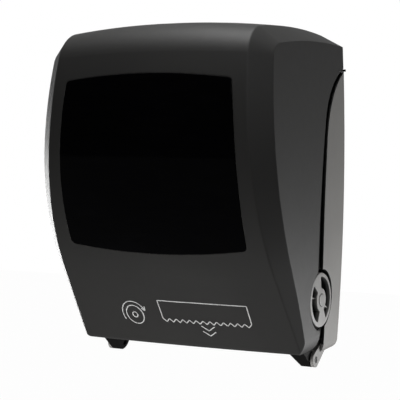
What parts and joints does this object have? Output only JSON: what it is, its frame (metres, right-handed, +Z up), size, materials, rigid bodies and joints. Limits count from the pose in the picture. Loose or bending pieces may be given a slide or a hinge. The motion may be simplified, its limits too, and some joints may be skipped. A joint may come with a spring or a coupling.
{
  "type": "roll towel dispenser",
  "caption": "Wall-hung roll towel dispenser: hinged dark cover with gloss window, grey housing, side feed knob, drum with cutting knife, pinch roller and sprung roll arms",
  "frame": {"origin": "Centre of the four wall screw holes, on the wall plane", "axes": "+Z up, +Y into the wall, the front faces -Y, +X to the right of someone who faces the dispenser"},
  "size_m": [0.3256, 0.238, 0.4298],
  "materials": {
    "cover_plastic": "charcoal moulded plastic with a fine spark-eroded grain",
    "window_gloss": "polished black smoked plastic",
    "housing_grey": "grey moulded plastic, fine grain",
    "knob_grey": "light grey moulded plastic, satin",
    "black_plastic": "black moulded plastic",
    "white_nylon": "natural nylon",
    "arm_grey": "grey moulded plastic",
    "rubber": "ground rubber",
    "steel": "bright zinc-plated or drawn steel",
    "lock_metal": "die-cast zinc, satin"
  },
  "bodies": {
    "housing": {"rear_housing": "housing_grey", "edge_seal_left": "black_plastic", "edge_seal_right": "black_plastic", "side_frame_left": "black_plastic", "side_frame_right": "black_plastic", "tie_rods": "steel", "panel_screws": "steel", "front_guide": "black_plastic", "rear_guide": "black_plastic", "knife_track_left": "black_plastic", "knife_track_right": "black_plastic", "pinch_pivot_rod": "steel", "pinch_leaf": "steel", "axle_bush_left": "white_nylon", "axle_bush_right": "white_nylon", "clutch_support": "black_plastic", "one_way_clutch": "steel", "return_spring": "steel", "spring_case": "black_plastic", "arm_pin_left": "steel", "arm_pin_right": "steel", "hinge_pin_left": "black_plastic", "hinge_pin_right": "black_plastic", "lock_strike": "steel"},
    "cover": {"front_cover": "cover_plastic", "window_panel": "window_gloss", "hinge_lug_left": "black_plastic", "hinge_lug_right": "black_plastic", "lock_sleeve": "lock_metal", "lock_nut": "steel"},
    "lock": {"lock_barrel": "lock_metal", "lock_cam": "steel"},
    "drum": {"drum_shell_front": "black_plastic", "drum_shell_rear": "black_plastic", "drum_cap_left": "black_plastic", "drum_cap_right": "black_plastic", "grip_bands": "rubber", "drum_axle": "steel", "feed_knob": "knob_grey", "knob_cap": "knob_grey", "crank": "black_plastic"},
    "knife": {"knife_carrier": "black_plastic", "knife_blade": "steel", "knife_follower_left": "white_nylon", "knife_follower_right": "white_nylon"},
    "pinch_arm": {"pinch_yoke": "black_plastic"},
    "pinch_roller": {"pinch_shaft": "steel", "pinch_sleeves": "rubber"},
    "arm_left": {"roll_arm_left": "arm_grey"},
    "arm_right": {"roll_arm_right": "arm_grey"},
    "hub_left": {"roll_hub_left": "white_nylon"},
    "hub_right": {"roll_hub_right": "white_nylon"}
  },
  "joints": [
    {"name": "cover_hinge", "type": "hinge", "parent": "housing", "child": "cover", "pos_m": [0, -0.067, -0.2635], "axis": [1, 0, 0], "range_deg": [0, 100]},
    {"name": "lock_turn", "type": "hinge", "parent": "cover", "child": "lock", "pos_m": [0, -0.03, 0.14], "axis": [0, 0, -1], "range_deg": [0, 90]},
    {"name": "drum_spin", "type": "hinge", "parent": "housing", "child": "drum", "pos_m": [0, -0.0705, -0.1875], "axis": [1, 0, 0], "continuous": true, "deforming": ["return_spring"]},
    {"name": "knife_swing", "type": "hinge", "parent": "drum", "child": "knife", "pos_m": [0, -0.09038, -0.21422], "axis": [1, 0, 0], "range_deg": [0, 25], "stiffness_Nm_per_rad": 0.2, "springref_deg": -11.46},
    {"name": "pinch_lift", "type": "hinge", "parent": "housing", "child": "pinch_arm", "pos_m": [0, -0.024, -0.122], "axis": [-1, 0, 0], "range_deg": [0, 8], "stiffness_Nm_per_rad": 1.5, "springref_deg": -8.59, "deforming": ["pinch_leaf"]},
    {"name": "pinch_spin", "type": "hinge", "parent": "pinch_arm", "child": "pinch_roller", "pos_m": [0, -0.05116, -0.13436], "axis": [1, 0, 0], "continuous": true},
    {"name": "arm_left_swing", "type": "hinge", "parent": "housing", "child": "arm_left", "pos_m": [-0.1073, -0.014, 0.012], "axis": [0, 0, -1], "range_deg": [0, 8], "stiffness_Nm_per_rad": 3, "springref_deg": -2.86},
    {"name": "arm_right_swing", "type": "hinge", "parent": "housing", "child": "arm_right", "pos_m": [0.1073, -0.014, 0.012], "axis": [0, 0, 1], "range_deg": [0, 8], "stiffness_Nm_per_rad": 3, "springref_deg": -2.86},
    {"name": "hub_left_spin", "type": "hinge", "parent": "arm_left", "child": "hub_left", "pos_m": [0, -0.118, 0.012], "axis": [1, 0, 0], "continuous": true},
    {"name": "hub_right_spin", "type": "hinge", "parent": "arm_right", "child": "hub_right", "pos_m": [0, -0.118, 0.012], "axis": [1, 0, 0], "continuous": true}
  ],
  "couplings": [
    {"joint": "pinch_spin", "follows": "drum_spin", "ratio": -4.625}
  ]
}
